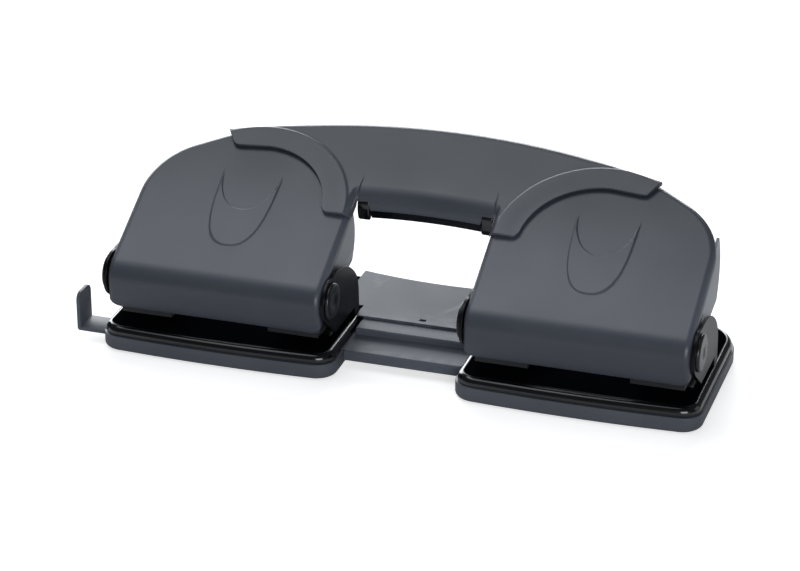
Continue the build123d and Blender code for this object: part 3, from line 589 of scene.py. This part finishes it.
# %% Work out the handle's skin
def handle_skin():
    """Closed grid round each ruling: over the front's round, along the top, down the rear and
    back below. A height is the formula's height less the drop of an edge's quarter circle."""
    front, rear = handle_lines(260, 150)
    count = len(front)
    ruling = rear - front
    length = np.linalg.norm(ruling, axis=1)[:, None]
    step_in = ruling / length
    x = front[:, :1]
    in_grip = np.abs(x) < GRIP_HALF - 0.01
    in_bar = np.abs(rear[:, :1]) < GRIP_HALF
    thin = 1 - smoothstep(62, 84, np.abs(rear[:, :1]))
    heel = np.minimum(0.5 + 3.5 * thin, 0.35 * length)
    flat_end = length - 0.475 * heel
    edge = np.minimum(0.5, 0.3 * length)
    front_low = np.where(in_grip, band_top(x), handle_under(x))
    rear_low = np.where(in_bar, UNDERSIDE, FLAP_UNDER)
    lid = np.where(in_grip, UNDERSIDE, FLAP_UNDER)
    lid = np.where(np.abs(x) < END_BLOCK, LINER_TOP, lid)
    rear_top = handle_height(*(front + step_in * flat_end).T)[:, None]
    rear_turn = np.arccos(np.clip(1 - (rear_top - rear_low - 0.06) / heel, 0, 1))
    lowest = np.arcsin(np.clip((band_top(x) - TOP + NOSE) / NOSE, 0, 1))
    steps, drops = [], []
    for part in np.linspace(0, 1, 15):
        turn = lowest + (math.pi / 2 - lowest) * part
        rise = math.pi / 2 * part
        over_nose = NOSE * (np.cos(lowest) - np.cos(turn))
        steps.append(np.where(in_grip, over_nose, edge * (1 - math.cos(rise))))
        drops.append(np.where(in_grip, 0.0, edge * (1 - math.sin(rise))))
    nose_end = steps[-1]
    for part in np.linspace(0, 1, 116)[1:-1]:
        steps.append(nose_end + (flat_end - nose_end) * part)
        drops.append(0 * heel)
    for part in np.linspace(0, 1, 9):
        steps.append(flat_end + heel * np.sin(rear_turn * part))
        drops.append(heel * (1 - np.cos(rear_turn * part)))
    rear_end = steps[-1]
    rows = []
    for step, drop in zip(steps, drops):
        flat = front + step_in * step
        top = handle_height(flat[:, :1], flat[:, 1:])
        rows.append(from_slope(flat[:, 0], flat[:, 1], (top - drop)[:, 0]))
    below = [(rear_end, rear_low), (rear_end - 0.3 * heel, rear_low), (rear_end - 0.35 * heel, lid)]
    below += [(0.5 * length, lid), (np.minimum(3.6, 0.2 * length), lid)]
    below += [(np.minimum(3.5, 0.18 * length), np.where(in_grip, front_low, lid))]
    below += [(0 * length, front_low + np.where(in_grip, 0, 0.8))]
    for step, low in below:
        flat = front + step_in * step
        rows.append(from_slope(flat[:, 0], flat[:, 1], low[:, 0]))
    grid = np.array(rows).transpose(1, 0, 2)
    around = grid.shape[1]
    faces = grid_quads(count, around, ring=True).tolist()
    faces += [list(range(around))[::-1], [(count - 1) * around + k for k in range(around)]]
    return make_piece("bridge_handle", grid, faces)


handle = handle_skin()
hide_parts("handle_shell")
dress(handle, "cover_plastic", "lever")
print(handle.name, len(handle.data.polygons), "faces")

# %% [markdown]
# ## Lips and end blocks
# Two kinds of small parts run straight across: the stiffening lips under each cover's front
# edge, and the black raised ends of the liner under the grip. Each is one closed side view,
# moved along x, with its ends drawn in along a quarter circle.

# %% Work out a rounded bar
LIP_SHEET = 1.0
LIP_LENGTH = 26.8


def rounded_bar(name, side_view, start, end, rounding):
    """Rings of one (y, z) outline from start to end; near an end a ring shrinks to its centre
    by rounding * (1 - sin t) while x moves in by rounding * (1 - cos t)."""
    outline = resample(np.concatenate([side_view, side_view[:1]]), 49)[:-1]
    centre = outline.mean(0)
    reach = np.linalg.norm(outline - centre, axis=1)[:, None]
    turns = np.radians(np.linspace(0, 90, 6))
    draws = [(rounding * (1 - math.cos(t)), rounding * (1 - math.sin(t))) for t in turns]
    places = [(start + along, shrink) for along, shrink in draws]
    places += [(end - along, shrink) for along, shrink in draws[::-1]]
    rings = []
    for x, shrink in places:
        ring = centre + (outline - centre) * (1 - shrink / np.maximum(reach, rounding))
        rings.append(np.concatenate([np.full((len(ring), 1), x), ring], 1))
    faces = grid_quads(len(rings), len(outline), ring=True).tolist()
    last = (len(rings) - 1) * len(outline)
    faces += [list(range(len(outline)))[::-1], [last + k for k in range(len(outline))]]
    return make_piece(name, rings, faces, flip=True)


def lip_view():
    """Side view of a cover's lip: a strip behind the front wall, on the wall's own arc."""
    low, high = wall_angle + 0.05, wall_angle - 0.02
    low, high = 180 + math.degrees(low), 180 + math.degrees(high)
    outer = arc(wall_centre, WALL_RADIUS - COVER_WALL, low, high, 8)
    inner = arc(wall_centre, WALL_RADIUS - COVER_WALL - LIP_SHEET, high, low, 8)
    return np.concatenate([outer, inner])


def block_view():
    """Side view of a liner's end: the nose's arc in front, flat above, behind and below."""
    low, high, rear, middle_x = -9.4, -1.2, 53.0, 29
    n = np.linspace(low, high, 14)
    nose = np.sqrt(NOSE ** 2 - (n - TOP + NOSE) ** 2)
    s = GRIP_FRONT + NOSE - BOW * middle_x ** 2 - nose + 0.05
    s, n = np.append(s, [rear, rear]), np.append(n, [high, low])
    return from_slope(0 * s, s, n)[:, 1:]


for side, sign in (("left", -1), ("right", 1)):
    for place, start in (("outer", -46.8), ("inner", 20.0)):
        start += sign * HEAD_X
        lip = rounded_bar(f"lip_{side}_{place}", lip_view(), start, start + LIP_LENGTH, 0.3)
        dress(lip, "cover_plastic", "lever")
    ends = sorted((sign * END_BLOCK, sign * (GRIP_HALF - 0.1)))
    block = rounded_bar("liner_end_" + side, block_view(), ends[0], ends[1], 1.0)
    dress(block, "gloss_black", "lever")
    print("lips and end block:", side)

# %% [markdown]
# ## All other pieces
# They keep the solids' exact shape. Bent sheet has a narrower broken edge than moulded
# plastic, and small turned steel pieces get almost none.

# %% Dress the remaining nodes
BREAK = {"deck": 0.25, "chip_tray": 0.3, "chassis": 0.25, "bridge": 0.25, "cheek": 0.2,
         "lever_frame": 0.2, "guide_strip": 0.25, "punch_housing": 0.3, "axle_caps": 0.15,
         "handle_liner": 0.2}    # width of the broken edge, by the start of a node's name
replaced = {"lever_cover_left", "lever_cover_right", "handle_shell"}
for name in sorted(frame["nodes"]):
    if name in replaced:
        continue
    width = max([value for key, value in BREAK.items() if name.startswith(key)], default=0.0)
    broken_edges(name, width)
print("other pieces:", len(frame["nodes"]) - len(replaced))

# %% [markdown]
# ## The stage
# A pale floor that keeps the soft shadow, a white surround for the camera and for
# reflections, and large lamps: two overhead, one behind, one in front and a weak one at the
# right. The covers' fronts stay darker than their slopes because most light comes from above
# and from behind, and because the slopes carry a painted sheen above the roll.

# %% Floor
def floor_material():
    """Pale paint; to the camera it also glows a little, so that only real shade looks grey."""
    material = bpy.data.materials.new("pale floor")
    material.use_nodes = True
    tree = material.node_tree
    shader = tree.nodes["Principled BSDF"]
    shader.inputs["Base Color"].default_value = (0.86, 0.86, 0.86, 1)
    shader.inputs["Roughness"].default_value = 0.9
    shader.inputs["Specular IOR Level"].default_value = 0.0
    shader.inputs["Emission Color"].default_value = (1, 1, 1, 1)
    path = node(tree, "ShaderNodeLightPath")
    glow = node(tree, "ShaderNodeMath", {0: path.outputs["Is Camera Ray"], 1: 0.62},
                operation="MULTIPLY")
    tree.links.new(glow.outputs["Value"], shader.inputs["Emission Strength"])
    return material


floor_mesh = bpy.data.meshes.new("floor")
floor_mesh.from_pydata([(-6, -6, 0), (6, -6, 0), (6, 6, 0), (-6, 6, 0)], [], [(0, 1, 2, 3)])
floor = bpy.data.objects.new("floor", floor_mesh)
floor.data.materials.append(floor_material())
bpy.context.scene.collection.objects.link(floor)

# %% World and lamps
world = bpy.data.worlds.new("soft studio")
bpy.context.scene.world = world
world.use_nodes = True
tree = world.node_tree
tree.nodes.clear()
path = node(tree, "ShaderNodeLightPath")
seen = node(tree, "ShaderNodeBackground", {"Color": (1, 1, 1, 1), "Strength": 1.0})
light = node(tree, "ShaderNodeBackground", {"Color": (0.93, 0.96, 1.0, 1), "Strength": 0.08})
choose = node(tree, "ShaderNodeMixShader",
              {0: path.outputs["Is Camera Ray"], 1: light.outputs[0], 2: seen.outputs[0]})
node(tree, "ShaderNodeOutputWorld", {"Surface": choose.outputs[0]})


def soft_lamp(name, place, aim, size, watts):
    """A large square lamp at a place, turned to a point, both in metres."""
    data = bpy.data.lights.new(name, "AREA")
    data.shape = "RECTANGLE"
    data.size, data.size_y = size
    data.energy = watts
    data.color = (0.94, 0.97, 1.0)
    lamp = bpy.data.objects.new(name, data)
    bpy.context.scene.collection.objects.link(lamp)
    lamp.location = place
    lamp.rotation_euler = (Vector(aim) - Vector(place)).to_track_quat("-Z", "Y").to_euler()
    return lamp


soft_lamp("overhead", (-0.41, 0.25, 1.4), (0, 0.02, 0.05), (0.8, 0.8), 3.6)
soft_lamp("front of overhead", (-0.33, -0.16, 1.2), (0, 0.02, 0.05), (0.7, 0.7), 2.0)
soft_lamp("back wall", (-0.9, 2.0, 0.85), (0, 0, 0.1), (2.4, 1.4), 66)
soft_lamp("front fill", (0.9, -1.6, 0.6), (0, 0, 0.05), (1.2, 0.8), 17)
soft_lamp("right side", (1.5, 0.6, 0.6), (0, 0, 0.05), (0.9, 0.9), 1.5)

# %% Camera
lens = bpy.data.cameras.new("camera")
camera = bpy.data.objects.new("camera", lens)
bpy.context.scene.collection.objects.link(camera)
camera.location = (0.344357, -1.091333, 0.576374)
camera.rotation_euler = (math.radians(90 - 25.2663), 0, math.radians(17.7645))
lens.sensor_width = 36
lens.lens = 133.12
lens.clip_start = 0.05
lens.clip_end = 50
bpy.context.scene.camera = camera
bpy.context.scene.view_settings.view_transform = "Standard"
